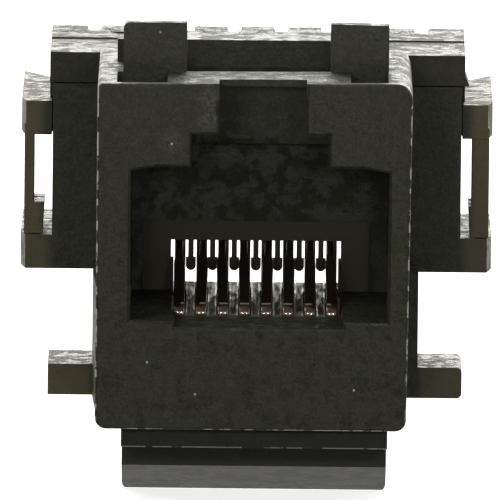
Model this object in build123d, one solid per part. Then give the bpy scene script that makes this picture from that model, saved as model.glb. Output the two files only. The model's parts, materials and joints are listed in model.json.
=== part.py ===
from build123d import *
import os
from math import asin, atan2, cos, degrees, hypot, radians, sin, tan

os.makedirs("parts", exist_ok=True)

# A panel jack for an eight-wire plug. X is to the right, Y runs back into the jack and Z is up.
# The origin is on the jack's middle plane, in the plane of the front face. All sizes are in millimetres.

# Nose: the part that stands in the panel's opening
face_width = 14.4
face_shift = -0.1
face_height = 16.0
face_taper = 0.16
face_left_fall = 0.1
face_low_corner = 0.52
face_left_corner = 0.25
face_right_corner = 0.72
edge_round = 0.12

# Plug port, seen from the front
port_shift = 0.15
port_width = 11.8
port_floor = -3.0
port_height = 7.1
port_corner_width = 1.2
port_corner_drop = 0.2
port_depth = 11.0
behind_port = 2.3
recess_half_width = 3.87
catch_width = 6.3
catch_height = 1.5
tab_width = 4.0
tab_shift = 0.1
tab_open_depth = 1.7
top_skin = 0.35
catch_room_depth = 9.0
back_wall = 1.0

# Contact wires
wire_count = 8
wire_pitch = 1.0
wire_width = 0.5
wire_thickness = 0.36
wire_bend_y = 5.2
wire_bend_radius = 0.45
wire_tip_setback = 0.55
wire_tip_gap = 0.05
wire_joint_gap = 14.0
lead_rise_radius = 0.6
lead_row_setback = 2.0
lead_row_spacing = 1.0
lead_stand = 0.15

# Insert that carries the contact wires
floor_top = -3.3
floor_thickness = 1.25
floor_start = 4.0
floor_half_width = 3.9
floor_setback = 5.4
insert_half_width = 5.2
cheek_width = 1.27
cheek_toe = 0.13
cheek_setback = 3.7
groove_width = 0.6
groove_gap = 0.12
groove_under = 0.03
comb_top = 0.2
comb_bar_bottom = -0.67
comb_depth = 1.25
comb_finger_depth = 0.75
finger_stem = 0.25
finger_bulb_width = 0.46
finger_bulb_top = -1.55
finger_bottom = -2.08
insert_clearance = 0.03

# Circuit board
board_thickness = 1.2
board_gap = 0.05
board_tongue_width = 11.6
board_tongue_setback = 1.4
board_front_gap = 0.15
board_hole_gap = 0.07
board_end_gap = 0.1

# Rear block and its tray
block_half_width = 9.6
tray_half_width = 9.45
block_front_wall = 1.2
seam_height = 6.27
tray_bottom = -2.36
tray_floor = 1.58
tray_depth = 10.7
tray_wall = 1.0
tray_wall_top = 1.6
tray_ledge = 0.3
tray_window_half_width = 5.0
room_ceiling = 4.6
room_half_width = 6.2

# Side wings
wing_reach = 1.3
wing_front_bevel = 0.22
wing_bevel_depth = 1.5
wing_top = 5.45
wing_bottom = 3.87
wing_inner_depth = 9.2
wing_outer_depth = 11.4
arm_inset = 0.15
arm_thickness = 0.45
arm_depth = 3.2
arm_foot = 0.95
arm_rib = 0.35
barb_top = 0.71
barb_reach = 0.5
barb_slope = 0.08
pocket_gap = 0.06

# Stop lugs and flanks
stop_y = 8.5
lug_reach = 9.54
lug_bottom = -7.59
lug_height = 1.43
lug_round = 0.25
flank_half_width = 7.5
flank_taper_start = 3.0

# Fixed hooks on top
ear_front = 4.6
ear_top = 10.19
ear_left_span = (-6.16, -3.25)
ear_right_span = (3.33, 6.01)
ear_flat = 0.9
ear_fall = 0.02
ear_corner = 0.3
ear_tilt = 0.06
hook_back = 8.7
bar_front = 4.8
bar_top = 9.43
rib_left = -6.46
rib_top = 8.92
rib_depth = 2.0
pocket_left_span = (-6.43, -4.11)
pocket_right_span = (4.27, 5.99)
pocket_front = 0.6
pocket_floor = 5.4

# Space under the port floor
core_half_width = 6.3
core_top = -5.5
core_bottom = -6.9
core_front = 4.5

# Release latch
latch_width = 12.2
latch_front = 1.7
latch_axis_y = 2.4
latch_axis_z = -8.35
latch_knuckle = 0.7
latch_fit = 0.05
latch_side_fit = 0.15
latch_arm_rise = 0.3
latch_arm = 0.9
latch_slope = 8.2
latch_step_y = 9.0
latch_step = 0.9
finger_slope = 20.3
finger_length = 4.9
finger_thickness = 0.95
finger_end_lean = 0.3
finger_corner = 0.35

# Wiring block
part_gap = 0.04
wiring_top = 7.73
strip_top = 7.8
strip_setback = 5.2
wiring_depth = 10.0
wiring_bottom = 1.65
slot_pitch = 2.175
slot_width = 0.46
slot_mouth = 0.66
slot_mouth_depth = 0.45
slot_setback = 8.2
slot_floor = 5.1
nib_reach = 0.2
nib_height = 0.5
core_wall = 1.1

# Wiring terminals
blade_thickness = 0.4
blade_width = 1.5
blade_top = 7.2
blade_slot_width = 0.3
blade_slot_depth = 2.0
blade_mouth = 0.7
tail_width = 0.5
tail_stand = 0.6
blade_row_setback = 8.6
blade_row_spacing = 0.5
blade_fit = 0.06

# Dust cap
cap_setback = 6.2
cap_length = 4.4
cap_shift = -0.15
cap_gap = 0.1
lobe_axis_drop = 0.55
lobe_front_radius = 1.98
lobe_back_radius = 1.5
lobe_hollow = 1.15
lobe_count = 4
roof_thickness = 0.4
peg_diameter = 0.8
peg_length = 1.0
peg_setback = 0.9
peg_inset = 0.1
peg_fit = 0.05

# How far a piece is sunk into the one that it grows from, and how far a cut runs past the face it opens
sunk = 0.5
past = 1.0
touch = 0.01

# Places worked out from the sizes above
face_top = face_height / 2
face_bottom = -face_height / 2
port_ceiling = port_floor + port_height
catch_ceiling = port_ceiling + catch_height
port_back = port_depth + back_wall
nose_depth = port_depth + behind_port
room_back = nose_depth + block_front_wall
tray_top = tray_bottom + tray_floor
tray_back = nose_depth + tray_depth
wiring_back = nose_depth + wiring_depth
board_back = tray_back - tray_wall - board_end_gap
board_half_width = tray_half_width - tray_wall - board_gap
board_bottom = comb_top + board_gap
board_top = board_bottom + board_thickness
wing_half_width = block_half_width + wing_reach
wire_bend_z = floor_top
wire_half = wire_thickness / 2
wire_tip_y = port_depth + wire_tip_setback
wire_tip_z = comb_bar_bottom - wire_tip_gap - wire_half
lead_z = wire_bend_z - wire_bend_radius
groove_bottom = lead_z - wire_half - groove_under
comb_front = port_depth + insert_clearance
cap_front = nose_depth + cap_setback
cap_back = cap_front + cap_length
peg_y = cap_front + peg_setback
lobe_axis_z = strip_top - lobe_axis_drop


def front_plane(y):
    """A plane at depth y that faces the viewer: its own axes are X and Z."""
    return Plane(origin=(0, y, 0), x_dir=(1, 0, 0), z_dir=(0, -1, 0))


def side_plane(x):
    """A plane across the jack at x: its own axes are Y and Z."""
    return Plane(origin=(x, 0, 0), x_dir=(0, 1, 0), z_dir=(1, 0, 0))


def level_plane(z):
    """A level plane at height z: its own axes are X and Y."""
    return Plane(origin=(0, 0, z))


def span(low_1, high_1, low_2, high_2):
    """A rectangle between two pairs of limits, in a plane's own axes."""
    middle = ((low_1 + high_1) / 2, (low_2 + high_2) / 2)
    return Pos(*middle) * Rectangle(high_1 - low_1, high_2 - low_2)


def centred(half, low, high, shift=0.0):
    """A rectangle that reaches equally far to both sides of the jack's middle, or of a place beside it."""
    return span(shift - half, shift + half, low, high)


def run_back(outline, y_from, y_to):
    """Carry an outline seen from the front from one depth to another."""
    return extrude(front_plane(y_from) * outline, amount=y_to - y_from, dir=(0, 1, 0))


def run_across(outline, x_from, x_to):
    """Carry an outline seen from the side from one x to another."""
    return extrude(side_plane(x_from) * outline, amount=x_to - x_from, dir=(1, 0, 0))


def run_up(outline, z_from, z_to):
    """Carry an outline seen from above from one height to another."""
    return extrude(level_plane(z_from) * outline, amount=z_to - z_from, dir=(0, 0, 1))


def row_places(count, pitch):
    """The x places of a row centred on the jack."""
    return [(i - (count - 1) / 2) * pitch for i in range(count)]


def wire_places():
    """The x place of each contact wire, from left to right."""
    return row_places(wire_count, wire_pitch)


def slot_places():
    """The x place of each wire slot, from left to right."""
    return row_places(wire_count, slot_pitch)


def lead_row_y(index):
    """The depth at which a contact's lead rises: two rows, by turns."""
    return port_depth + lead_row_setback + lead_row_spacing * (index % 2)


def blade_row_y(index):
    """The depth of a wiring terminal: two rows, by turns."""
    return nose_depth + blade_row_setback + blade_row_spacing * (index % 2)


def mirrored(solid):
    """A solid together with its mirror image on the other side of the jack."""
    return solid + mirror(solid, about=Plane.YZ)


# Front housing

def face_outline():
    """The nose seen from the front: the right side leans in and the top falls to the left."""
    left = face_shift - face_width / 2
    right = face_shift + face_width / 2
    outline = make_face(
        Polyline(
            (left, face_bottom),
            (right - face_taper, face_bottom),
            (right, face_top),
            (left, face_top - face_left_fall),
            close=True,
        )
    )
    low = outline.vertices().group_by(Axis.Y)[0]
    outline = fillet(low, face_low_corner)
    top_left = outline.vertices().sort_by(Axis.Y)[-2:].sort_by(Axis.X)[0]
    outline = fillet(top_left, face_left_corner)
    top_right = outline.vertices().sort_by(Axis.X)[-2:].sort_by(Axis.Y)[-1]
    return fillet(top_right, face_right_corner)


def port_outline():
    """The plug port seen from the front: body with eased top corners, latch step and contact recess."""
    half = port_width / 2
    body = Polygon(
        (-half, port_floor),
        (half, port_floor),
        (half, port_ceiling - port_corner_drop),
        (half - port_corner_width, port_ceiling),
        (-half + port_corner_width, port_ceiling),
        (-half, port_ceiling - port_corner_drop),
        align=None,
    )
    step = centred(catch_width / 2, port_floor, catch_ceiling)
    recess = centred(recess_half_width, floor_top, port_floor + sunk)
    return Pos(port_shift, 0) * (body + step + recess)


def tab_outline(z_to):
    """The notch for the plug's tab, from the latch step up to a height."""
    return centred(tab_width / 2, port_ceiling, z_to, port_shift + tab_shift)


def nose():
    """The nose with its rounded front edge and its flanks behind the stop plane."""
    body = run_back(face_outline(), 0, nose_depth)
    body = fillet(body.faces().sort_by(Axis.Y)[0].edges(), edge_round)
    left = face_shift - face_width / 2
    inner = face_width / 2 - 1
    flank = Polygon(
        (-inner, nose_depth),
        (-inner, flank_taper_start),
        (left, flank_taper_start),
        (-flank_half_width, stop_y),
        (-flank_half_width, nose_depth),
        align=None,
    )
    step = span(inner, flank_half_width, stop_y, nose_depth)
    return body + run_up(flank + step, lug_bottom, tray_bottom + sunk)


def port_space():
    """Everything that is cut away from the nose for the plug, its tab and its latch."""
    mouth = port_outline() + tab_outline(face_top + past)
    bevel = extrude(
        front_plane(0) * offset(mouth, edge_round, kind=Kind.INTERSECTION),
        amount=-edge_round,
        taper=45,
    )
    half = port_width / 2
    body = run_back(port_outline(), -past, floor_start)
    body += run_back(centred(half, port_floor, port_ceiling, port_shift), floor_start, port_depth)
    catch = centred(catch_width / 2, port_floor, face_top - top_skin, port_shift)
    body += run_back(catch, tab_open_depth, catch_room_depth)
    step = centred(catch_width / 2, port_floor, catch_ceiling, port_shift)
    body += run_back(step, 0, catch_room_depth)
    body += run_back(tab_outline(face_top + past), -past, tab_open_depth)
    return body + bevel


def insert_space():
    """The slot in the port floor and the opening behind it, both for the contact insert."""
    low = floor_top - floor_thickness - insert_clearance
    tongue = centred(floor_half_width + insert_clearance, low, port_floor + sunk)
    wide = centred(insert_half_width + insert_clearance, low, comb_top + board_gap)
    space = run_back(tongue, floor_start - insert_clearance, port_depth)
    return space + run_back(wide, port_depth - touch, port_depth + cheek_setback + past)


def board_room():
    """The room behind the port's back wall that holds the front of the circuit board."""
    return run_back(centred(room_half_width, comb_bar_bottom, room_ceiling), port_back, room_back + touch)


def hook_profile(front, top):
    """A hook seen from the side: an upright front, a short flat and a slope down to the back."""
    return Polygon(
        (front, face_top - past),
        (front, top),
        (front + ear_flat, top - ear_fall),
        (hook_back, face_top),
        (hook_back, face_top - past),
        align=None,
    )


def hooks():
    """The two ears and the bar between them, which hook behind the panel's upper edge."""
    ears = run_across(hook_profile(ear_front, ear_top), *ear_left_span)
    ears += run_across(hook_profile(ear_front, ear_top), *ear_right_span)
    corner_x = ear_left_span[0] + ear_corner
    corner_z = ear_top - ear_corner
    corner = span(corner_x - past, corner_x, corner_z, ear_top + past)
    corner -= Pos(corner_x, corner_z) * Circle(ear_corner)
    lean = Polygon(
        (ear_right_span[0], ear_top),
        (ear_right_span[1] + touch, ear_top - ear_tilt),
        (ear_right_span[1] + touch, ear_top + past),
        (ear_right_span[0], ear_top + past),
        align=None,
    )
    ears -= run_back(corner, ear_front - past, hook_back)
    ears -= run_back(lean, ear_front - past, hook_back)
    bar = run_across(hook_profile(bar_front, bar_top), ear_left_span[0], ear_right_span[1])
    rib = span(rib_left, ear_right_span[1], face_top - past, rib_top)
    return ears + bar + run_back(rib, hook_back, hook_back + rib_depth)


def stop_lugs():
    """The two lugs that stop the jack against the back of the panel: the left one has square corners."""
    inner = flank_half_width - sunk
    lug = span(inner, lug_reach, lug_bottom, lug_bottom + lug_height)
    round_lug = fillet(lug.vertices().sort_by(Axis.X)[-2:], lug_round)
    square_lug = span(-lug_reach, -inner, lug_bottom, lug_bottom + lug_height)
    return run_back(round_lug, stop_y, nose_depth) + run_back(square_lug, stop_y, nose_depth)


def tray_wing():
    """The right wing of the tray seen from above, with the long bevel at its front."""
    return Polygon(
        (tray_half_width - sunk, nose_depth),
        (wing_half_width - wing_front_bevel, nose_depth),
        (wing_half_width, nose_depth + wing_bevel_depth),
        (wing_half_width, nose_depth + wing_inner_depth),
        (tray_half_width - sunk, nose_depth + wing_inner_depth),
        align=None,
    )


def tray():
    """The tray behind the nose: front wall, floor with its wings, side and back walls, board ledges."""
    half = tray_half_width
    inside = half - tray_wall
    front = run_back(centred(half, tray_bottom, seam_height), nose_depth, room_back)
    floor = run_up(centred(half, nose_depth, tray_back), tray_bottom, tray_top)
    floor += mirrored(run_up(tray_wing(), tray_bottom, tray_top))
    rim = centred(half, room_back, tray_back) - centred(inside, 0, tray_back - tray_wall)
    walls = run_up(rim, tray_top, tray_wall_top)
    ledge = span(inside - tray_ledge, inside, room_back, tray_back - tray_wall)
    ledges = mirrored(run_up(ledge, tray_top, board_bottom - board_gap))
    window = centred(tray_window_half_width, nose_depth, tray_back + past)
    floor -= run_up(window, tray_bottom - past, tray_top + touch)
    return front + floor + walls + ledges - mirrored(foot_pocket())


def arm_span():
    """The outer and inner x of the right snap arm."""
    outer = wing_half_width - arm_inset
    return outer, outer - arm_thickness


def foot_pocket():
    """The pocket in the tray's right wing that the foot of the snap arm stands in."""
    outer, inner = arm_span()
    front = nose_depth + wing_bevel_depth - pocket_gap
    back = nose_depth + arm_depth + pocket_gap
    pocket = span(inner - pocket_gap, outer - 2 * pocket_gap, front, back)
    return run_up(pocket, tray_top - arm_foot - pocket_gap, tray_top + past)


def latch_seat():
    """The round groove under the nose in which the latch's root sits."""
    groove = Cylinder(latch_knuckle + latch_fit, latch_width + 2 * latch_side_fit)
    return Pos(0, latch_axis_y, latch_axis_z) * (Rot(0, 90, 0) * groove)


def front_housing():
    """The black shell: nose, hooks, lugs and tray in one moulding."""
    body = nose() + hooks() + stop_lugs() + tray()
    body -= port_space()
    body -= insert_space()
    body -= board_room()
    for limits in (pocket_left_span, pocket_right_span):
        body -= run_up(span(*limits, pocket_front, ear_front), pocket_floor, face_top + past)
    body -= run_back(centred(core_half_width, core_bottom, core_top), core_front, nose_depth + past)
    return body - latch_seat()


# Release latch

def latch_profile():
    """The latch seen from the side, at rest: root, arm, stop face and finger plate."""
    upper_start = latch_axis_z + latch_arm_rise
    arm_drop = (latch_step_y - latch_axis_y) * tan(radians(latch_slope))
    root_low = latch_axis_z - latch_knuckle
    lower_end = root_low - arm_drop
    upper_end = lower_end + latch_arm
    stop_low = lower_end - latch_step
    tip_y = latch_step_y + finger_length * cos(radians(finger_slope))
    tip_z = stop_low - finger_length * sin(radians(finger_slope))
    lift = finger_thickness / cos(radians(finger_slope))
    arm = Polygon(
        (latch_front, upper_start),
        (latch_front, root_low),
        (latch_axis_y, root_low),
        (latch_step_y, lower_end),
        (latch_step_y, stop_low),
        (tip_y, tip_z),
        (tip_y + finger_end_lean, tip_z + lift),
        (latch_step_y, upper_end),
        (latch_axis_y, upper_start),
        align=None,
    )
    return arm + Pos(latch_axis_y, latch_axis_z) * Circle(latch_knuckle)


def release_latch():
    """The latch, with its finger plate's two free corners rounded."""
    half = latch_width / 2
    body = run_across(latch_profile(), -half, half)
    box = body.bounding_box()
    corner_x = half - finger_corner
    corner_y = box.max.Y - finger_corner
    square = span(corner_x, half + past, corner_y, box.max.Y + past)
    corner = square - Pos(corner_x, corner_y) * Circle(finger_corner)
    return body - mirrored(run_up(corner, box.min.Z - past, box.max.Z))


# Contact insert and contact wires

def comb_finger():
    """One finger of the comb seen from the front: a thin stem with a broad, round-ended bulb."""
    half = finger_bulb_width / 2
    bulb = centred(half, finger_bottom + half, finger_bulb_top) + Pos(0, finger_bottom + half) * Circle(half)
    return bulb + centred(finger_stem / 2, finger_bulb_top - touch, comb_bar_bottom + touch)


def comb():
    """The bar behind the contacts with a finger hanging between each two wires."""
    bar = centred(insert_half_width, comb_bar_bottom, comb_top)
    body = run_back(bar, comb_front, comb_front + comb_depth)
    for x in row_places(wire_count - 1, wire_pitch):
        body += run_back(Pos(x, 0) * comb_finger(), comb_front, comb_front + comb_finger_depth)
    return body


def contact_carrier():
    """The insert: a floor with a groove for each wire, the comb, and two cheeks with toes beside it."""
    low = floor_top - floor_thickness
    cheek_back = port_depth + cheek_setback
    floor = centred(floor_half_width, floor_start, port_depth + floor_setback)
    floor += centred(insert_half_width, comb_front, cheek_back)
    body = run_up(floor, low, floor_top)
    inner = insert_half_width - cheek_width
    cheek = span(inner, insert_half_width, low, comb_top)
    toe = span(inner - cheek_toe, inner + touch, floor_top - touch, finger_bulb_top)
    body += mirrored(run_back(cheek, comb_front, cheek_back)) + comb()
    body += mirrored(run_back(toe, comb_front, comb_front + comb_finger_depth))
    groove_front = wire_bend_y - wire_bend_radius - wire_half - groove_gap
    for i, x in enumerate(wire_places()):
        groove_back = lead_row_y(i) + wire_half + groove_gap
        groove = span(x - groove_width / 2, x + groove_width / 2, groove_front, groove_back)
        body -= run_up(groove, groove_bottom, floor_top + past / 2)
    return body


def wire_rise_angle():
    """The angle at which a beam leaves its bend so that its tip comes to lie just under the comb's bar."""
    run = wire_tip_y - wire_bend_y
    rise = wire_tip_z - wire_bend_z
    return degrees(atan2(rise, run) - asin(wire_bend_radius / hypot(run, rise)))


def bend_point(heading):
    """A point of the front bend in the side view, named by the way that the wire is heading there."""
    y = wire_bend_y - wire_bend_radius * sin(radians(heading))
    z = wire_bend_z + wire_bend_radius * cos(radians(heading))
    return (y, z)


def flat_wire(path, x):
    """A stamped contact wire: a path in the side view, made as thick and as wide as the wire."""
    outline = trace(path, line_width=wire_thickness)
    return run_across(outline, x - wire_width / 2, x + wire_width / 2)


def contact_spring(x):
    """The sprung part of a contact wire: the front bend and the beam up to the comb."""
    start = 180 - wire_joint_gap
    rise = wire_rise_angle()
    bend = ThreePointArc(bend_point(start), bend_point((start + rise) / 2), bend_point(rise))
    beam = Line(bend_point(rise), (wire_tip_y, wire_tip_z))
    return flat_wire([bend, beam], x)


def contact_lead(x, rise_y):
    """The fixed part of a contact wire: along the insert's floor and up through the board."""
    turn_y = rise_y - lead_rise_radius
    turn_z = lead_z + lead_rise_radius
    lean = lead_rise_radius * sin(radians(45))
    floor_run = Line((wire_bend_y, lead_z), (turn_y, lead_z))
    turn = ThreePointArc((turn_y, lead_z), (turn_y + lean, turn_z - lean), (rise_y, turn_z))
    rise = Line((rise_y, turn_z), (rise_y, board_top + lead_stand))
    return flat_wire([floor_run, turn, rise], x)


# Circuit board

def circuit_board():
    """The board: a tongue into the nose, a wide part in the tray, and a hole for each wire and tail."""
    tongue = centred(board_tongue_width / 2, port_depth + board_tongue_setback, board_back)
    outline = tongue + centred(board_half_width, room_back + board_front_gap, board_back)
    hole = Circle(hypot(wire_width, wire_thickness) / 2 + board_hole_gap)
    for i, x in enumerate(wire_places()):
        outline -= Pos(x, lead_row_y(i)) * hole
    tail = Rectangle(tail_width + 2 * board_hole_gap, blade_thickness + 2 * board_hole_gap)
    for i, x in enumerate(slot_places()):
        outline -= Pos(x, blade_row_y(i)) * tail
    return run_up(outline, board_bottom, board_top)


# Wiring block and its terminals

def slot_profile():
    """A wire slot seen from the front: parallel sides with a flared mouth."""
    half = slot_width / 2
    mouth = slot_mouth / 2
    return Polygon(
        (-half, slot_floor),
        (half, slot_floor),
        (half, strip_top - slot_mouth_depth),
        (mouth, strip_top),
        (mouth, strip_top + past),
        (-mouth, strip_top + past),
        (-mouth, strip_top),
        (-half, strip_top - slot_mouth_depth),
        align=None,
    )


def wing_block():
    """The right wing of the wiring block, seen from above: bevelled in front and slanted at the back."""
    return Polygon(
        (block_half_width - sunk, room_back + part_gap),
        (tray_half_width + part_gap, room_back + part_gap),
        (tray_half_width + part_gap, nose_depth),
        (wing_half_width - wing_front_bevel, nose_depth),
        (wing_half_width, nose_depth + wing_bevel_depth),
        (wing_half_width, nose_depth + wing_outer_depth),
        (block_half_width, nose_depth + wing_inner_depth),
        (block_half_width - sunk, nose_depth + wing_inner_depth),
        align=None,
    )


def snap_arm():
    """The right wing: its block, and the arm whose barbed end stands on the tray with its foot in a pocket."""
    outer, inner = arm_span()
    barb = inner - barb_reach
    arm = Polygon(
        (outer, wing_bottom + sunk),
        (inner, wing_bottom + sunk),
        (inner, barb_top),
        (barb, barb_top),
        (barb + barb_slope, tray_top + part_gap),
        (outer, tray_top + part_gap),
        align=None,
    )
    front = nose_depth + part_gap
    foot = span(inner, outer - 3 * pocket_gap, nose_depth + wing_bevel_depth, nose_depth + arm_depth)
    body = run_up(wing_block(), wing_bottom, wing_top) + run_back(arm, front, nose_depth + arm_depth)
    return body + run_up(foot, tray_top - arm_foot, tray_top + part_gap + touch)


def arm_stiffener():
    """The rib that makes the right snap arm thicker than the left one, from its barb up to its root."""
    inner = arm_span()[1]
    rib = span(inner - arm_rib, inner + touch, barb_top - touch, wing_bottom + sunk)
    return run_back(rib, nose_depth + part_gap, nose_depth + arm_depth)


def lip_outline():
    """The front lip seen from the front, with the small nib at its lower right end."""
    half = block_half_width
    low = seam_height + part_gap
    return Polygon(
        (-half, low),
        (half + nib_reach, low),
        (half, low + nib_height),
        (half, wiring_top),
        (-half, wiring_top),
        align=None,
    )


def wiring_block():
    """The upper moulding: front lip, raised strip with eight wire slots, and the two snap arms."""
    half = block_half_width
    back_of_wall = room_back + part_gap
    slot_front = nose_depth + slot_setback
    body = run_back(lip_outline(), nose_depth + part_gap, room_back + past)
    body += run_back(centred(half, wing_bottom, wiring_top), back_of_wall, wiring_back)
    body += run_back(centred(tray_half_width, wiring_bottom, wiring_top), back_of_wall, wiring_back)
    body += run_back(centred(half, wiring_top - sunk, strip_top), nose_depth + strip_setback, wiring_back)
    body += mirrored(snap_arm()) + arm_stiffener()
    core = centred(tray_half_width - core_wall, back_of_wall + core_wall, slot_front - core_wall)
    body -= run_up(core, wiring_bottom - past, wiring_top - core_wall)
    pocket = Rectangle(blade_width + 2 * blade_fit, blade_thickness + 2 * blade_fit)
    for i, x in enumerate(slot_places()):
        body -= run_back(Pos(x, 0) * slot_profile(), slot_front, wiring_back + past)
        body -= run_up(Pos(x, blade_row_y(i)) * pocket, wiring_bottom - past, blade_top + blade_fit)
    for x in peg_places():
        body -= Pos(x, peg_y, strip_top) * Cylinder(peg_diameter / 2 + peg_fit, 2 * (peg_length + peg_fit))
    return body


def idc_terminal(x, y):
    """A terminal: a blade with a slot that cuts through the wire's cover, and a tail into the board."""
    half = blade_width / 2
    slot = blade_slot_width / 2
    mouth = blade_mouth / 2
    tail = tail_width / 2
    low = board_bottom - tail_stand
    neck = board_top + part_gap
    right = [
        (tail, low),
        (tail, neck),
        (half, neck),
        (half, blade_top),
        (mouth, blade_top),
        (slot, blade_top - mouth),
        (slot, blade_top - blade_slot_depth),
    ]
    left = [(-a, b) for a, b in reversed(right)]
    outline = Pos(x, 0) * Polygon(*right, *left, align=None)
    return run_back(outline, y - blade_thickness / 2, y + blade_thickness / 2)


# Dust cap

def lobe_places():
    """The cap's lobes lie over every second wire slot, from the left, a little to one side."""
    return [x + cap_shift for x in slot_places()[0::2][:lobe_count]]


def peg_places():
    """The cap's two pegs stand under the inner feet of its first and last lobes."""
    places = lobe_places()
    foot = (lobe_front_radius + lobe_hollow) / 2 - peg_inset
    return [places[0] + foot, places[-1] - foot]


def dust_cap():
    """The clear cap: four tapered lobes joined by a roof that slopes a little to the back."""
    places = lobe_places()
    front_top = lobe_axis_z + lobe_front_radius
    back_top = lobe_axis_z + lobe_back_radius
    roof = Polygon(
        (cap_front, front_top),
        (cap_front, front_top - roof_thickness),
        (cap_back, back_top - roof_thickness),
        (cap_back, back_top),
        align=None,
    )
    body = run_across(roof, places[0], places[-1])
    lobe = Rot(-90, 0, 0) * Cone(lobe_front_radius, lobe_back_radius, cap_length)
    hollow = Rot(-90, 0, 0) * Cylinder(lobe_hollow, cap_length + past)
    middle = (cap_front + cap_back) / 2
    for x in places:
        body += Pos(x, middle, lobe_axis_z) * lobe
    for x in places:
        body -= Pos(x, middle, lobe_axis_z) * hollow
    floor = strip_top + cap_gap
    reach = 2 * block_half_width
    under = centred(reach, cap_front - past, cap_back + past)
    body -= run_up(under, lobe_axis_z - lobe_front_radius - past, floor)
    peg_top = floor + peg_length / 4
    peg = Cylinder(peg_diameter / 2, peg_length + peg_length / 4)
    for x in peg_places():
        body += Pos(x, peg_y, (peg_top + floor - peg_length) / 2) * peg
    return body


# Write one file for each piece

def save(name, shape):
    """Write one piece under its own name."""
    shape.label = name
    export_step(shape, f"parts/{name}.step")


save("front_housing", front_housing())
save("release_latch", release_latch())
save("contact_carrier", contact_carrier())
save("circuit_board", circuit_board())
save("wiring_block", wiring_block())
save("dust_cap", dust_cap())
for number, place in enumerate(wire_places(), start=1):
    save(f"contact_spring_{number}", contact_spring(place))
    save(f"contact_lead_{number}", contact_lead(place, lead_row_y(number - 1)))
for number, place in enumerate(slot_places(), start=1):
    save(f"idc_terminal_{number}", idc_terminal(place, blade_row_y(number - 1)))
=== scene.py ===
# %% [markdown]
# A network jack, dressed for its portrait
#
# The model that comes in is exact but bare: sharp edges, one plain colour for each piece. This lesson turns
# it into something that looks moulded, stamped and handled. First it is loaded, then each piece gets its
# rounded edges or its finer form, then its finish, and last come the paper, the lamps and the camera.

# %% Load the model
import math

import bmesh
import bpy
import numpy as np
from mathutils import Matrix, Vector
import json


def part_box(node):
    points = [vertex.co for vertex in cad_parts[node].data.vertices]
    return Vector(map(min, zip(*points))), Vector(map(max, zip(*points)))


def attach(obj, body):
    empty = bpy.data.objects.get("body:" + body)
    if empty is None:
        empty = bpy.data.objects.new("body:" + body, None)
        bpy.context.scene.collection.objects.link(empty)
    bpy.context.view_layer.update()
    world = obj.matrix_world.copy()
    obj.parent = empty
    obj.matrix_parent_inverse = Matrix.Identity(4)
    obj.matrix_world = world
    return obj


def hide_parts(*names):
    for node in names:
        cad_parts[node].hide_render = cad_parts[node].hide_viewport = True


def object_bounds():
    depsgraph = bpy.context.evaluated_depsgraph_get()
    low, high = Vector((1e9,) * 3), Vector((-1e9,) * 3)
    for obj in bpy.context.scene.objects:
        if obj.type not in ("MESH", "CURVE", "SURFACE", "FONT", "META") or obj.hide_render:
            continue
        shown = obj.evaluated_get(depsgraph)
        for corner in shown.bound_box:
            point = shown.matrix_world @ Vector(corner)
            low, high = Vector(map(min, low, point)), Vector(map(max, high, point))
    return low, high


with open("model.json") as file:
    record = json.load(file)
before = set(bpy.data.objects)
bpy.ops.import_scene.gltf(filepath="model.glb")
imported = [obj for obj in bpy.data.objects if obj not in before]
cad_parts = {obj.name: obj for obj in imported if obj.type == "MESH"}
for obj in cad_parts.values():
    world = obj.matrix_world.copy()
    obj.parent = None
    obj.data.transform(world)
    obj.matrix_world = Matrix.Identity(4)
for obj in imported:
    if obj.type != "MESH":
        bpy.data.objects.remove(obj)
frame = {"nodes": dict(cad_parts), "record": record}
cad_low, cad_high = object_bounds()
MM = 0.001
print("model is", [round((b - a) / MM, 2) for a, b in zip(cad_low, cad_high)], "mm")

# %% [markdown]
# Rounded edges
#
# A moulded edge is never truly sharp: the tool leaves a radius of a tenth of a millimetre or so, and that
# radius is what catches the light. A Bevel modifier makes it. It needs whole faces, not loose triangles, so
# a copy of the piece is welded and its flat faces are joined before the modifier goes on. The weighted
# normals after it keep the big flat faces looking flat.

# %% A copy with rounded edges
BODY_OF = {node: body for body, nodes in frame["record"]["behaviour"]["bodies"].items() for node in nodes}
WELD = 0.0005 * MM
FLAT_ANGLE = math.radians(0.6)
CORNER_ANGLE = math.radians(32)


def eased(node, radius, segments=2):
    """A copy of a model piece with every sharp edge rounded to a radius in millimetres."""
    mesh = frame["nodes"][node].data.copy()
    work = bmesh.new()
    work.from_mesh(mesh)
    bmesh.ops.remove_doubles(work, verts=work.verts, dist=WELD)
    bmesh.ops.dissolve_limit(work, angle_limit=FLAT_ANGLE, verts=work.verts, edges=work.edges)
    work.to_mesh(mesh)
    work.free()
    mesh.materials.clear()
    piece = bpy.data.objects.new(node + "_eased", mesh)
    bpy.context.scene.collection.objects.link(piece)
    for polygon in mesh.polygons:
        polygon.use_smooth = True
    bevel = piece.modifiers.new("Edge radius", "BEVEL")
    bevel.width = radius * MM
    bevel.segments = segments
    bevel.limit_method = "ANGLE"
    bevel.angle_limit = CORNER_ANGLE
    bevel.use_clamp_overlap = True
    bevel.miter_outer = "MITER_ARC"
    shade = piece.modifiers.new("Even shading", "WEIGHTED_NORMAL")
    shade.keep_sharp = True
    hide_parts(node)
    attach(piece, BODY_OF[node])
    print(node, "copied with", len(mesh.polygons), "whole faces")
    return piece


# %% [markdown]
# The window between the hooks
#
# On the real jack a light strip shows between the two hooks on top. The model that comes in has a low bar
# there, which hides it. Deleting the bar's faces would leave holes to patch, so a Boolean modifier takes a
# box away instead. It works before the edges are rounded, so the new edges get their radius as well.

# %% A helper that cuts a box out of a piece
WINDOW_LOW = (-3.25, 4.75, 7.0)
WINDOW_HIGH = (3.33, 8.66, 9.8)


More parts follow.
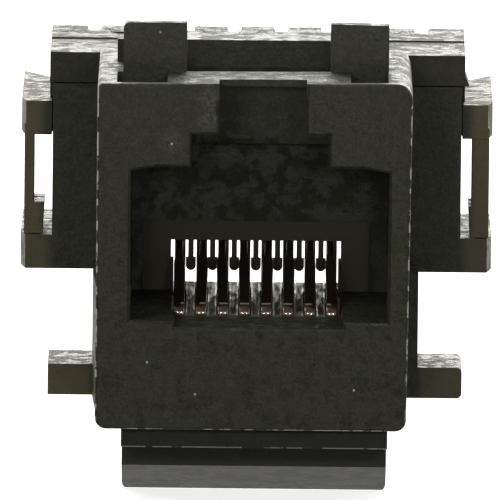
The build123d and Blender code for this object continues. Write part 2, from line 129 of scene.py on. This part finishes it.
def cut_box(piece, low, high):
    """Cut a box, given by two corners in millimetres, out of a piece."""
    corners = np.array([[x, y, z] for x in (0, 1) for y in (0, 1) for z in (0, 1)])
    corners = (np.array(low) + corners * (np.array(high) - np.array(low))) * MM
    sides = [(0, 1, 3, 2), (4, 6, 7, 5), (0, 4, 5, 1), (2, 3, 7, 6), (0, 2, 6, 4), (1, 5, 7, 3)]
    mesh = bpy.data.meshes.new("cutter")
    mesh.from_pydata(corners.tolist(), [], sides)
    cutter = bpy.data.objects.new("cutter", mesh)
    bpy.context.scene.collection.objects.link(cutter)
    cut = piece.modifiers.new("Cut", "BOOLEAN")
    cut.operation = "DIFFERENCE"
    cut.solver = "EXACT"
    cut.object = cutter
    others = [modifier for modifier in piece.modifiers if modifier != cut]
    for modifier in others:
        modifier.show_viewport = False
    scene_now = bpy.context.evaluated_depsgraph_get()
    done = bpy.data.meshes.new_from_object(piece.evaluated_get(scene_now))
    for modifier in others:
        modifier.show_viewport = True
    piece.modifiers.remove(cut)
    piece.data = done
    bpy.data.objects.remove(cutter)
    print(piece.name, "cut, now", len(done.polygons), "faces")


# %% Round the moulded pieces
HOUSING_RADIUS = 0.07
LATCH_RADIUS = 0.09
BLOCK_RADIUS = 0.06
INSERT_RADIUS = 0.03
CAP_RADIUS = 0.05

housing = eased("front_housing", HOUSING_RADIUS)
cut_box(housing, WINDOW_LOW, WINDOW_HIGH)
latch = eased("release_latch", LATCH_RADIUS)
block = eased("wiring_block", BLOCK_RADIUS)
insert = eased("contact_carrier", INSERT_RADIUS, 1)
cap = eased("dust_cap", CAP_RADIUS)
cap.modifiers["Edge radius"].material = 1
cap.modifiers["Edge radius"].use_clamp_overlap = False

# %% Helpers that read, move and slice a piece


def vertices_of(piece):
    """The piece's points as rows of x, y, z in millimetres."""
    places = np.empty(len(piece.data.vertices) * 3)
    piece.data.vertices.foreach_get("co", places)
    return places.reshape(-1, 3) / MM


def move_vertices(piece, places):
    """Put the piece's points at new places, given in millimetres."""
    piece.data.vertices.foreach_set("co", (places * MM).ravel())
    piece.data.update()


def slice_along(piece, depths):
    """Cut the piece's faces across at depths in millimetres, so that it has points there to move."""
    work = bmesh.new()
    work.from_mesh(piece.data)
    for depth in depths:
        everything = work.verts[:] + work.edges[:] + work.faces[:]
        bmesh.ops.bisect_plane(work, geom=everything, plane_co=(0, depth * MM, 0), plane_no=(0, 1, 0))
    work.to_mesh(piece.data)
    work.free()


# %% [markdown]
# The insert is pressed home
#
# The model leaves a running gap around the insert, and light from behind shines through it as a hard white
# line. On the real jack the insert is a press fit. So the copy's outer sides move out to the shell's wall.

# %% Close the gap around the insert
SEAT_GAP = 0.03
SEAT_TOP_GAP = 0.045
AT_EDGE = 0.001
seat_low, seat_high = (np.array(corner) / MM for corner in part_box("contact_carrier"))
points = vertices_of(insert)
outer = np.abs(points[:, 0]) > seat_high[0] - AT_EDGE
points[outer, 0] += np.sign(points[outer, 0]) * SEAT_GAP
points[points[:, 2] > seat_high[2] - AT_EDGE, 2] += SEAT_TOP_GAP
move_vertices(insert, points)
print("insert widened at", int(outer.sum()), "points")

# %% [markdown]
# The finger plate's worn corners
#
# The plate under the nose is where a finger presses the latch, and its two free corners are rounded. A
# corner is a quarter of an ellipse: narrow across the jack and long along it. A bevel would make it a plain
# circle. So the plate is cut across in thin slices, and then no point may lie further out than the ellipse.

# %% Round the finger plate's corners
PLATE_ROUND = 0.34
PLATE_RUN = 1.5
PLATE_SLICES = 9


def round_plate(piece):
    """Limit |x| to half - a + a * sqrt(1 - s * s), where s runs from 0 to 1 over the plate's last run."""
    low, high = (np.array(corner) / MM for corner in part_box("release_latch"))
    half = high[0]
    start = high[1] - PLATE_RUN
    slice_along(piece, start + PLATE_RUN * np.sin(np.linspace(0, math.pi / 2, PLATE_SLICES))[:-1])
    points = vertices_of(piece)
    share = np.clip((points[:, 1] - start) / PLATE_RUN, 0, 1)
    limit = half - PLATE_ROUND + PLATE_ROUND * np.sqrt(1 - share * share)
    points[:, 0] = np.clip(points[:, 0], -limit, limit)
    move_vertices(piece, points)
    print("plate rounded over", PLATE_RUN, "mm")


round_plate(latch)

# %% [markdown]
# Contact wires that have been used
#
# The eight wires leave the press all alike, but plugs have pushed their tips a tenth of a millimetre this
# way and that. Each copy leans aside in proportion to how far a point lies behind the bend, so the bend
# stays put. Near its tip a wire is narrower, so that it clears the comb's stems.

# %% Lean the contact wires
BEND_DEPTH = 5.2
TIP_DEPTH = 11.55
TIP_LEANS = (-0.04, 0.09, -0.08, -0.06, 0.09, 0.08, 0.01, -0.07)
NECK_FROM = 0.6
NECK_TO = 0.8
NECK_SLICES = 5
TIP_WIDTH = 0.66
WIRE_RADIUS = 0.11


def leaning(piece, lean):
    """With s = (y - bend) / (tip - bend), x moves by lean * s, and the neck narrows to TIP_WIDTH."""
    reach = TIP_DEPTH - BEND_DEPTH
    slice_along(piece, BEND_DEPTH + reach * np.linspace(NECK_FROM, NECK_TO, NECK_SLICES))
    points = vertices_of(piece)
    share = np.clip((points[:, 1] - BEND_DEPTH) / reach, 0, None)
    neck = np.clip((share - NECK_FROM) / (NECK_TO - NECK_FROM), 0, 1)
    neck = neck * neck * (3 - 2 * neck)
    middle = (points[:, 0].min() + points[:, 0].max()) / 2
    points[:, 0] = middle + (points[:, 0] - middle) * (1 - (1 - TIP_WIDTH) * neck) + lean * share
    move_vertices(piece, points)


wires = [eased(f"contact_spring_{i + 1}", WIRE_RADIUS, 3) for i in range(len(TIP_LEANS))]
for wire, lean in zip(wires, TIP_LEANS):
    leaning(wire, lean)
print(len(wires), "wires lean by up to", max(abs(lean) for lean in TIP_LEANS), "mm")

# %% [markdown]
# Shader maths that reads like maths
#
# A material is a net of nodes. Wiring them by hand hides what they do, so one small class wraps an output
# and lends it the usual signs: adding two wrapped values adds a Math node. A second class is the net itself.
# Its method node() adds any node, and the others use it. The world's light is such a net too.

# %% Two small classes for shader maths


class Value:
    """A number or colour that flows through a material, with + - * between numbers."""

    def __init__(self, sheet, socket):
        self.sheet = sheet
        self.socket = socket

    def maths(self, operation, first, second=0.0):
        """Add a Math node and wrap what comes out of it."""
        return self.sheet.node("ShaderNodeMath", {"operation": operation}, {0: first, 1: second})

    def __add__(self, other):
        return self.maths("ADD", self, other)

    __radd__ = __add__

    def __mul__(self, other):
        return self.maths("MULTIPLY", self, other)

    __rmul__ = __mul__

    def __sub__(self, other):
        return self.maths("SUBTRACT", self, other)

    def __rsub__(self, other):
        return self.maths("SUBTRACT", other, self)

    def size(self):
        """The value without its sign."""
        return self.maths("ABSOLUTE", self)

    def near(self, place, reach):
        """1 close to a place on this scale, easing to 0 around a distance of reach."""
        return 1.0 - (self - place).size().above(reach, reach * 0.5)

    def below(self, edge, blur):
        """1 below the edge, 0 above it."""
        return 1.0 - self.above(edge, blur)

    def above(self, edge, blur):
        """0 below the edge, 1 above it, with a soft step as wide as blur."""
        inputs = {0: self, 1: edge - blur / 2, 2: edge + blur / 2}
        return self.sheet.node("ShaderNodeMapRange", {"interpolation_type": "SMOOTHSTEP"}, inputs)


class Sheet:
    """The net of one material, or of the world, and the nodes that are added to it."""

    def __init__(self, owner, end="ShaderNodeOutputMaterial"):
        self.owner = owner
        owner.use_nodes = True
        self.tree = owner.node_tree
        self.tree.nodes.clear()
        self.end = self.tree.nodes.new(end)

    def node(self, kind, settings=None, inputs=None, out=0):
        """Add any node: its settings first, then the values or links of its sockets."""
        made = self.tree.nodes.new(kind)
        for name, value in (settings or {}).items():
            setattr(made, name, value)
        for name, value in (inputs or {}).items():
            if isinstance(value, Value):
                self.tree.links.new(value.socket, made.inputs[name])
            else:
                made.inputs[name].default_value = value
        return Value(self, made.outputs[out])

    def finish(self, surface):
        """Link the surface to the end of the net, and give back the material or the world."""
        self.tree.links.new(surface.socket, self.end.inputs["Surface"])
        print(self.owner.name, "has", len(self.tree.nodes), "nodes")
        return self.owner

    def place(self):
        """The place on the piece, in millimetres."""
        where = self.node("ShaderNodeTexCoord", out="Object")
        return self.node("ShaderNodeVectorMath", {"operation": "SCALE"}, {0: where, "Scale": 1 / MM})

    def parts(self, vector):
        """A vector's three numbers."""
        first = self.node("ShaderNodeSeparateXYZ", None, {0: vector})
        return [Value(self, first.socket.node.outputs[axis]) for axis in "XYZ"]

    def stretched(self, vector, by):
        """A vector with each of its numbers multiplied."""
        return self.node("ShaderNodeVectorMath", {"operation": "MULTIPLY"}, {0: vector, 1: by})

    def noise(self, where, scale, detail=2.0, rough=0.5):
        """Cloudy noise with a scale in bumps for each millimetre."""
        inputs = {"Vector": where, "Scale": scale, "Detail": detail, "Roughness": rough}
        return self.node("ShaderNodeTexNoise", None, inputs)

    def blend(self, share, low, high):
        """A colour between two colours."""
        return self.node("ShaderNodeMix", {"data_type": "RGBA"}, {0: share, 6: low, 7: high}, 2)

    def bump(self, height, depth, normal=None, strength=1.0):
        """A normal from a height from 0 to 1 that stands for a depth in millimetres."""
        inputs = {"Height": height, "Strength": strength, "Distance": depth * MM}
        if normal is not None:
            inputs["Normal"] = normal
        return self.node("ShaderNodeBump", None, inputs)


# %% [markdown]
# Black moulded plastic
#
# The shell is moulded, and close up its skin has a fine, even grain. Head on it is nearly black. Along a
# flat top, seen at a few degrees, it turns almost white, because every smooth skin mirrors at a grazing
# angle, and there slow swells break the mirror into patches. A painted picture could show this from one
# side only. So the colour hardly varies, the grain is everywhere, and the swells are strong only where the
# skin faces up. Only a few small places get painted highlights in their colour: the face's edges, the
# hooks, the lug tops and parts of the latch.

# %% The black plastic


def rgb(red, green, blue):
    """A colour given as it looks on a screen, from 0 to 255, turned into amounts of light."""
    shades = np.array([red, green, blue]) / 255
    light = np.where(shades > 0.04045, ((shades + 0.055) / 1.055) ** 2.4, shades / 12.92)
    return (*light.tolist(), 1.0)


SCUFF_AND_HIGHLIGHT = rgb(205, 205, 196)
DUST = rgb(155, 155, 145)
BROWNED = rgb(84, 76, 52)
SWELL_LEVEL = 0.06
FINE_SCALE = 9.0
SLOW_SCALE = 2.8
PATCH_SCALE = 1.1
GRAIN_DEPTH = 0.006
SPECK_SCALE = 0.23
SPECK_REACH = 0.014
MATT_GAIN = 0.25


def moulded(name, dark, light, rough, mottle, swell, dust=0.0, browned=None, scuffs_and_highlights=None, matt=None):
    """Black plastic: fine grain, slow swells, matt and smooth patches, brown parts, scuffs and painted
    highlights.
    """
    sheet = Sheet(bpy.data.materials.new(name))
    where = sheet.place()
    split = sheet.parts(where)
    facing = sheet.parts(sheet.node("ShaderNodeTexCoord", out="Normal"))
    fine = sheet.noise(where, FINE_SCALE, 3.0, 0.6)
    slow = sheet.noise(where, SLOW_SCALE, 4.0, 0.65)
    patch = sheet.noise(where, PATCH_SCALE, 4.0, 0.65).above(0.5, 0.1)
    upward = facing[2].above(0.7, 0.3)
    grain = (fine * 0.6 + slow * 0.4).above(0.5, 0.3)
    tone = sheet.blend(grain, dark, light)
    if browned:
        tone = sheet.blend(browned(*split), tone, BROWNED)
    # Pale scuffs and specks, and painted highlights, are blended in one pale colour.
    if scuffs_and_highlights:
        tone = sheet.blend(scuffs_and_highlights(sheet, where, *split, upward), tone, SCUFF_AND_HIGHLIGHT)
    cells = {"Vector": where, "Scale": SPECK_SCALE, "Randomness": 1.0}
    speck = sheet.node("ShaderNodeTexVoronoi", {"feature": "F1"}, cells, "Distance")
    tone = sheet.blend(speck.below(SPECK_REACH, 0.01) * dust, tone, DUST)
    normal = sheet.bump(slow.above(0.5, 0.3), swell, strength=upward * (1.0 - SWELL_LEVEL) + SWELL_LEVEL)
    normal = sheet.bump(fine, GRAIN_DEPTH, normal)
    roughness = patch * mottle + slow * 0.1 + (rough - 0.05 - mottle / 2)
    if matt:
        roughness = roughness + matt(*split) * MATT_GAIN
    inputs = {"Base Color": tone, "Roughness": roughness, "IOR": 1.5, "Normal": normal}
    return sheet.finish(sheet.node("ShaderNodeBsdfPrincipled", None, inputs))


# %% [markdown]
# Where the plastic is scuffed, brown or matt, and where highlights are painted
#
# The edges of the face carry a thin, broken, pale line, which is a painted highlight. The hooks and the tops
# of the stop lugs are painted paler, as painted highlights. Painting such marks needs a flat map of the
# piece, while a place in millimetres is simply a number from the part, so each mark is a few steps along x,
# y and z. Single specks are told by their distance from a point.

# %% Where the shell is scuffed and dusty, and where highlights are painted on it
FACE_SPECKS = ((-4.93, 0, -4.9), (-3.89, 0, 5.17), (-2.72, 0, -6.36), (4.54, 0, -6.1), (-4.49, 4.6, 9.74))
FACE_SCUFFS = ((-2.2, 0, 6.3), (-2.2, 0, 7.3), (-3.9, 0, 5.3))
SPECK_RADIUS = 0.05
SCUFF_RADIUS = 0.45
FLATTEN = (1.0, 0.1, 1.0)
LEFT_GLINT_X = -7.3
RIGHT_GLINT_X = 7.04
RIGHT_GLINT_LEAN = 0.01
UNDER_GLINT_Z = -8.0
GLINT_DEPTH = 0.35
HOOK_Z = 8.4
HOOK_BACK = 7.0
LUG_Z = -4.0
LUG_X = 7.6


def shell_scuffs_and_highlights(sheet, where, x, y, z, upward):
    """Painted highlights: broken pale lines along the edges of the face, paler hooks and lug tops. Also
    specks and scuffs.
    """
    # Painted highlights: broken pale lines along the face's left, right and lower edges.
    left = x.near(LEFT_GLINT_X, 0.07)
    right = (x - z * RIGHT_GLINT_LEAN).near(RIGHT_GLINT_X, 0.08)
    under = z.near(UNDER_GLINT_Z, 0.05)
    broken = sheet.noise(where, 1.4, 3.0, 0.6).above(0.52, 0.06)
    marks = (left + right + under) * y.below(GLINT_DEPTH, 0.1) * broken * 0.55
    # Painted highlights: the hooks above the top a little paler, and the lug tops that face up paler still.
    marks = marks + z.above(HOOK_Z, 0.6) * y.below(HOOK_BACK, 0.2) * 0.02
    marks = marks + upward * z.below(LUG_Z, 0.4) * x.size().above(LUG_X, 0.4) * 0.3
    flat = sheet.stretched(where, FLATTEN)
    pale_share = sheet.noise(where, 6.0, 3.0, 0.7).above(0.5, 0.2)
    for places, radius, blur, level in (
        (FACE_SPECKS, SPECK_RADIUS, 0.05, 0.5),
        (FACE_SCUFFS, SCUFF_RADIUS, 0.5, pale_share * 0.05),
    ):
        for place in places:
            centre = [along * share for along, share in zip(place, FLATTEN)]
            ends = {0: flat, 1: centre}
            away = sheet.node("ShaderNodeVectorMath", {"operation": "DISTANCE"}, ends, "Value")
            marks = marks + away.below(radius, blur) * level
    return marks


# %% Where the latch, the wings and the port differ
ROOT_EDGE_Z = -9.05
ROOT_BACK = 2.1
PLATE_FROM = 5.0
WING_X = 9.6
BROWN_LUG_Z = -5.0
PORT_HALF = 6.3
PORT_REACH = 4.4
PORT_BACK = 11.0
ARM_X = 9.9


def latch_highlights(sheet, where, x, y, z, upward):
    """Painted highlights: a thin broken pale line along the lower edge of the latch's root, and a pale sheen
    on the finger plate's top.
    """
    broken = sheet.noise(where, 1.4, 3.0, 0.6).above(0.46, 0.06)
    # A painted highlight along the lower edge of the root.
    line = z.near(ROOT_EDGE_Z, 0.05) * y.below(ROOT_BACK, 0.2) * broken * 0.35
    # A painted sheen on the upward faces of the finger plate.
    return line + upward * y.above(PLATE_FROM, 2.0) * 0.13


def shell_browned(x, y, z):
    """The shell's side wings and stop lugs look browner than the rest."""
    wings = x.size().above(WING_X, 0.6)
    lugs = z.below(BROWN_LUG_Z, 0.4) * x.size().above(LUG_X, 0.4)
    return wings * 0.55 + lugs * 0.6


def port_matt(x, y, z):
    """The port's inside is more matt than the outside."""
    mouth = x.size().below(PORT_HALF, 0.2) * z.size().below(PORT_REACH, 0.4)
    return mouth * y.above(0.1, 0.1) * y.below(PORT_BACK, 0.5)


def block_browned(x, y, z):
    """The block's snap arms look browner than its body."""
    return x.size().above(ARM_X, 0.6) * 0.75


# %% The three black finishes
shell_black = moulded(
    "shell_black",
    rgb(25, 26, 13),
    rgb(47, 48, 31),
    rough=0.42,
    mottle=0.26,
    swell=0.09,
    dust=0.7,
    browned=shell_browned,
    scuffs_and_highlights=shell_scuffs_and_highlights,
    matt=port_matt,
)
latch_black = moulded(
    "latch_black",
    rgb(15, 15, 8),
    rgb(30, 30, 20),
    rough=0.4,
    mottle=0.05,
    swell=0.03,
    scuffs_and_highlights=latch_highlights,
)
block_black = moulded(
    "block_black",
    rgb(24, 23, 12),
    rgb(41, 40, 26),
    rough=0.42,
    mottle=0.26,
    swell=0.09,
    dust=0.5,
    browned=block_browned,
)

# %% [markdown]
# The insert's floor, with a painted reflection
#
# Between the wires lies the insert's floor, the same kind of black plastic. It is painted a light beige in
# streaks along the wires, a painted reflection of the bright opening behind it, and the edges of the wire
# grooves are painted pale as painted glints. Eight painted lines would have to be placed one by one. The
# grooves repeat with the wires, so a ping-pong of x finds them all: it runs from 0 between two wires to half
# a pitch at each wire.

# %% The insert's plastic
WIRE_PITCH = 1.0
GROOVE_EDGE = 0.17
FLOOR_LEVEL = -3.25
FLOOR_HALF = 3.95
FLOOR_FRONT = 4.6
FLOOR_SHEEN_DARK = rgb(66, 58, 36)
FLOOR_SHEEN_LIGHT = rgb(140, 126, 90)
GROOVE_GLINT_PALE = rgb(196, 188, 160)


def insert_plastic(name, dark, light):
    """Black plastic whose floor is painted beige in streaks as a painted reflection, with painted pale
    glints at the groove edges.
    """
    sheet = Sheet(bpy.data.materials.new(name))
    where = sheet.place()
    x, y, z = sheet.parts(where)
    fine = sheet.noise(where, FINE_SCALE, 3.0, 0.6)
    streak = sheet.noise(sheet.stretched(where, (5.0, 0.4, 1.0)), 1.0, 3.0, 0.6).above(0.5, 0.3)
    floor = z.below(FLOOR_LEVEL, 0.03) * x.size().below(FLOOR_HALF, 0.1) * y.above(FLOOR_FRONT, 0.1)
    # Pale lines at the groove edges of the floor: a painted glint.
    edge = x.maths("PINGPONG", x, WIRE_PITCH / 2).near(GROOVE_EDGE, 0.04) * floor
    # Light beige streaks, used on the floor only: a painted reflection of the bright opening behind.
    tone = sheet.blend(streak, FLOOR_SHEEN_DARK, FLOOR_SHEEN_LIGHT)
    tone = sheet.blend(floor * 0.9, sheet.blend(fine, dark, light), tone)
    inputs = {
        "Base Color": sheet.blend(edge * 0.8, tone, GROOVE_GLINT_PALE),
        "Roughness": fine * 0.1 + 0.45 + floor * (0.4 - streak * 0.45) - edge * 0.15,
        "Specular Tint": (1.0, 0.95, 0.8, 1.0),
        "Normal": sheet.bump(streak * floor * 0.6 + fine * 0.4, 0.02),
    }
    return sheet.finish(sheet.node("ShaderNodeBsdfPrincipled", None, inputs))


insert_black = insert_plastic("insert_black", rgb(34, 34, 24), rgb(54, 54, 41))

# %% [markdown]
# Gold, tin, solder mask and clear plastic
#
# The contacts are gold over nickel, drawn and wiped by plugs, so they carry fine lines along their length,
# and their rounded sides are painted pale as a painted highlight. The cap is polished clear plastic: it
# shows only where its edges bend the light, so the bevel's own faces are painted grey, a painted shade that
# stands for the light they bend away.

# %% Metals, board and cap
SIDE_HIGHLIGHT_PALE = rgb(214, 204, 176)
TIN_DULL = (0.5, 0.49, 0.46, 1.0)
TIN_BRIGHT = (0.78, 0.78, 0.76, 1.0)
MASK_DARK = (0.012, 0.05, 0.02, 1.0)
MASK_LIGHT = (0.03, 0.12, 0.045, 1.0)
CLEAR_TINT = (0.97, 0.97, 0.94, 1.0)
RIM_ALPHA = 0.35
BODY_ALPHA = 0.12
EDGE_ALPHA = 0.3


def metal(name, dull, bright, rough, streak, pale_share=0.0):
    """Worn metal: fine streaks along the piece, slow patches of tarnish, and sides painted pale as a painted
    highlight.
    """
    sheet = Sheet(bpy.data.materials.new(name))
    where = sheet.place()
    line = sheet.noise(sheet.stretched(where, (22.0, 1.2, 1.2)), 1.0, 3.0, 0.6)
    patch = sheet.noise(where, 1.6, 2.0, 0.5)
    tone = sheet.blend(patch * 0.6 + line * 0.4, dull, bright)
    aside = sheet.parts(sheet.node("ShaderNodeTexCoord", out="Normal"))[0].size()
    # The rounded sides are painted pale: a painted highlight.
    tone = sheet.blend(aside.above(0.55, 0.4) * pale_share, tone, SIDE_HIGHLIGHT_PALE)
    normal = sheet.bump(line, streak)
    inputs = {
        "Base Color": tone,
        "Metallic": 1.0,
        "Roughness": patch * 0.1 + (rough - 0.05),
        "Coat Weight": 1.0,
        "Coat Roughness": 0.05,
        "Coat IOR": 2.3,
        "Normal": normal,
    }
    return sheet.finish(sheet.node("ShaderNodeBsdfPrincipled", None, inputs))


def solder_mask(name):
    """The board's green lacquer, with the faint relief of the tracks under it."""
    sheet = Sheet(bpy.data.materials.new(name))
    where = sheet.place()
    wave = {"Vector": where, "Scale": 0.55, "Distortion": 1.5, "Detail": 1.0}
    track = sheet.node("ShaderNodeTexWave", {"bands_direction": "X"}, wave, "Fac").above(0.6, 0.06)
    tone = sheet.blend(track, MASK_DARK, MASK_LIGHT)
    inputs = {"Base Color": tone, "Roughness": 0.28, "Normal": sheet.bump(track, 0.02)}
    return sheet.finish(sheet.node("ShaderNodeBsdfPrincipled", None, inputs))


def clear(name):
    """Polished clear plastic. A skin met from inside stays clear, or it would only mirror the room."""
    sheet = Sheet(bpy.data.materials.new(name))
    swell = sheet.noise(sheet.place(), 0.8, 2.0, 0.5)
    rim = sheet.node("ShaderNodeLayerWeight", None, {"Blend": 0.3}, "Facing")
    leaving = sheet.node("ShaderNodeNewGeometry", out="Backfacing")
    inputs = {
        "Base Color": CLEAR_TINT,
        "Roughness": swell * 0.04 + 0.02,
        "IOR": 1.1,
        "Transmission Weight": 1.0,
        "Coat Weight": 1.0,
        "Coat Roughness": 0.03,
        "Alpha": (rim * RIM_ALPHA + BODY_ALPHA) * (1.0 - leaving),
        "Normal": sheet.bump(swell, 0.01),
    }
    return sheet.finish(sheet.node("ShaderNodeBsdfPrincipled", None, inputs))


def clear_edge(name):
    """The cap's rounded edges, painted grey as painted shade for the light that they bend away, so they look
    like thin grey lines.
    """
    sheet = Sheet(bpy.data.materials.new(name))
    # A painted grey that stands for the light these edges bend away.
    inputs = {"Base Color": rgb(120, 120, 108), "Roughness": 0.5, "Alpha": EDGE_ALPHA}
    return sheet.finish(sheet.node("ShaderNodeBsdfPrincipled", None, inputs))


gold = metal("contact_gold", rgb(52, 38, 20), rgb(112, 84, 50), rough=0.42, streak=0.0006, pale_share=0.8)
tin = metal("terminal_tin", TIN_DULL, TIN_BRIGHT, rough=0.3, streak=0.001)
mask_green = solder_mask("board_green")
cap_clear = clear("cap_clear")
cap_line = clear_edge("cap_edge")

# %% [markdown]
# Each piece gets its finish
#
# The record names a material slot for each kind of piece. A copy could be given its finish as it is made,
# but then the list would be spread over the whole lesson. So it is kept in one place here, by the first
# words of each piece's name.

# %% Put each finish on its piece
FINISHES = {
    "front_housing": shell_black,
    "release_latch": latch_black,
    "wiring_block": block_black,
    "contact_carrier": insert_black,
    "contact": gold,
    "idc": tin,
    "circuit_board": mask_green,
    "dust_cap": cap_clear,
}
SLOTS = {housing: "black_plastic", latch: "black_plastic", block: "black_plastic"}
SLOTS.update({insert: "insert_plastic", cap: "clear_plastic"})
SLOTS.update({wire: "gold_wire" for wire in wires})


def finish_for(name):
    """The finish of a piece, found by the longest word that its name starts with."""
    fits = [key for key in FINISHES if name.startswith(key)]
    return FINISHES[max(fits, key=len)]


for name, node in frame["nodes"].items():
    for slot in node.material_slots:
        slot.material = finish_for(name)
for piece, slot_name in SLOTS.items():
    piece.data.materials.append(finish_for(piece.name))
cap.data.materials.append(cap_line)
print(len(frame["nodes"]), "pieces and", len(SLOTS), "copies have their finish")

# %% [markdown]
# Paper, lamps and camera
#
# The jack stands on white paper that runs on behind it without a seam. A sheet lit only by lamps is brighter
# near them, so the camera sees it glow as well, and the shadow on it stays faint. For what the plastic
# mirrors, the paper is bright behind the jack and dim in front, which keeps the face black.

# %% White paper
PAPER_HALF = 400 * MM
PAPER_GLOW = 0.8
PAPER_TINT = (0.8, 0.8, 0.79, 1.0)
GLEAM_FRONT = 0.1
GLEAM_BEHIND = 0.5
WARM = (1.0, 0.99, 0.91, 1.0)
paper_level = cad_low.z - 0.02 * MM


def paper_material():
    """White with a faint shadow for the camera; mirrored, bright behind the jack and dim in front."""
    sheet = Sheet(bpy.data.materials.new("white_paper"))
    sight = sheet.node("ShaderNodeLightPath", out="Is Camera Ray")
    mirrored = sheet.node("ShaderNodeLightPath", out="Is Glossy Ray")
    passed = sheet.node("ShaderNodeLightPath", out="Is Transmission Ray")
    behind = sheet.parts(sheet.place())[1].above(0.0, 24.0)
    glow = {"Color": (1.0, 1.0, 1.0, 1.0), "Strength": (sight + passed) * PAPER_GLOW}
    white = sheet.node("ShaderNodeEmission", None, glow)
    matt = sheet.node("ShaderNodeBsdfDiffuse", None, {"Color": PAPER_TINT})
    seen = sheet.node("ShaderNodeAddShader", None, {0: white, 1: matt})
    gleam = {"Color": WARM, "Strength": behind * GLEAM_BEHIND + GLEAM_FRONT}
    image = sheet.node("ShaderNodeEmission", None, gleam)
    return sheet.finish(sheet.node("ShaderNodeMixShader", None, {0: mirrored, 1: seen, 2: image}))


def paper_sheet():
    """A wide level sheet under the jack."""
    corners = np.array([[-1, -1, 0], [1, -1, 0], [1, 1, 0], [-1, 1, 0]]) * PAPER_HALF
    corners[:, 2] = paper_level
    mesh = bpy.data.meshes.new("paper")
    mesh.from_pydata(corners.tolist(), [], [(0, 1, 2, 3)])
    sheet = bpy.data.objects.new("paper", mesh)
    bpy.context.scene.collection.objects.link(sheet)
    mesh.materials.append(paper_material())
    print("paper at z", round(paper_level / MM, 2), "mm")


paper_sheet()

# %% The room's light
scene = bpy.context.scene
ROOM_FRONT = 0.1
ROOM_BEHIND = 0.7


def room_light(world):
    """White for the camera; for every other ray bright behind the jack and dim in front."""
    sheet = Sheet(world, "ShaderNodeOutputWorld")
    depth = sheet.parts(sheet.node("ShaderNodeTexCoord", out="Generated"))[1]
    strength = depth.above(0.15, 0.7) * ROOM_BEHIND + ROOM_FRONT
    seen = sheet.node("ShaderNodeLightPath", out="Is Camera Ray")
    strength = strength.maths("MAXIMUM", strength, seen)
    white = {"Color": (1.0, 1.0, 1.0, 1.0), "Strength": strength}
    return sheet.finish(sheet.node("ShaderNodeBackground", None, white))


scene.world = room_light(bpy.data.worlds.new("white_room"))

# %% [markdown]
# The lamps
#
# The tops mirror what lies behind the jack, and two wide lamps there brighten them. The key, the fill and a
# weak front lamp light the face. Two tiny lamps in front put a double dot of light on the bend of each
# contact wire. One large lamp could light all of it, but then the tops and the face couldn't be set apart.

# %% Lamps
AIM = (0, 8, 0)
LAMPS = (
    ("key", (-160, -170, 220), 140, 140, 0.34),
    ("fill", (190, -120, 90), 160, 160, 0.14),
    ("front", (-20, -300, 60), 200, 90, 0.04),
    ("back", (0, 200, 130), 240, 240, 0.33),
    ("low_back", (0, 260, 40), 300, 100, 0.22),
    ("left_glint", (-26, -220, 40), 10, 10, 0.02),
    ("right_glint", (26, -220, 40), 10, 10, 0.02),
)


def lamp(name, place, width, height, watts):
    """A soft lamp at a place, turned to face the jack, all in millimetres."""
    light = bpy.data.lights.new(name, "AREA")
    light.shape = "RECTANGLE"
    light.size = width * MM
    light.size_y = height * MM
    light.energy = watts
    light.color = WARM[:3]
    holder = bpy.data.objects.new(name, light)
    holder.visible_camera = False
    bpy.context.scene.collection.objects.link(holder)
    holder.location = Vector(place) * MM
    holder.rotation_euler = (Vector(AIM) - Vector(place)).to_track_quat("-Z", "Y").to_euler()


for name, place, width, height, watts in LAMPS:
    lamp(name, place, width, height, watts)
print(len(LAMPS), "lamps")

# %% [markdown]
# The camera
#
# The picture was taken from a little above, straight on and through a very long lens: the top's side edges
# run back almost parallel. So the camera stands a metre off, and a small turn of it matches the picture's
# slant. Its scale comes from the port, 11.8 mm wide and 258 pixels wide in a picture of 500.

# %% Camera
PICTURE_PX = 500
SCALE_PX = 21.9
DISTANCE = 1000.0
RISE = math.atan(0.13)
TILT = math.radians(0.6)
CENTRE_PX = (256.0, 256.9)
SENSOR = 36.0

lens = bpy.data.cameras.new("camera")
lens.sensor_width = SENSOR
lens.lens = SENSOR * DISTANCE * SCALE_PX / PICTURE_PX
lens.clip_start = 1 * MM
lens.clip_end = 10.0
camera = bpy.data.objects.new("camera", lens)
scene.collection.objects.link(camera)
scene.camera = camera
ahead = Vector((0, math.cos(RISE), -math.sin(RISE)))
upward = Vector((0, math.sin(RISE), math.cos(RISE)))
right_shift = (PICTURE_PX / 2 - CENTRE_PX[0]) / SCALE_PX
up_shift = (CENTRE_PX[1] - PICTURE_PX / 2) / SCALE_PX
aim_at = Vector((right_shift, 0, 0)) + upward * up_shift
camera.location = (aim_at - ahead * DISTANCE) * MM
facing = ahead.to_track_quat("-Z", "Y").to_matrix() @ Matrix.Rotation(TILT, 3, "Z")
camera.rotation_euler = facing.to_euler()
print("lens", round(lens.lens, 1), "mm")

scene.view_settings.view_transform = "Standard"
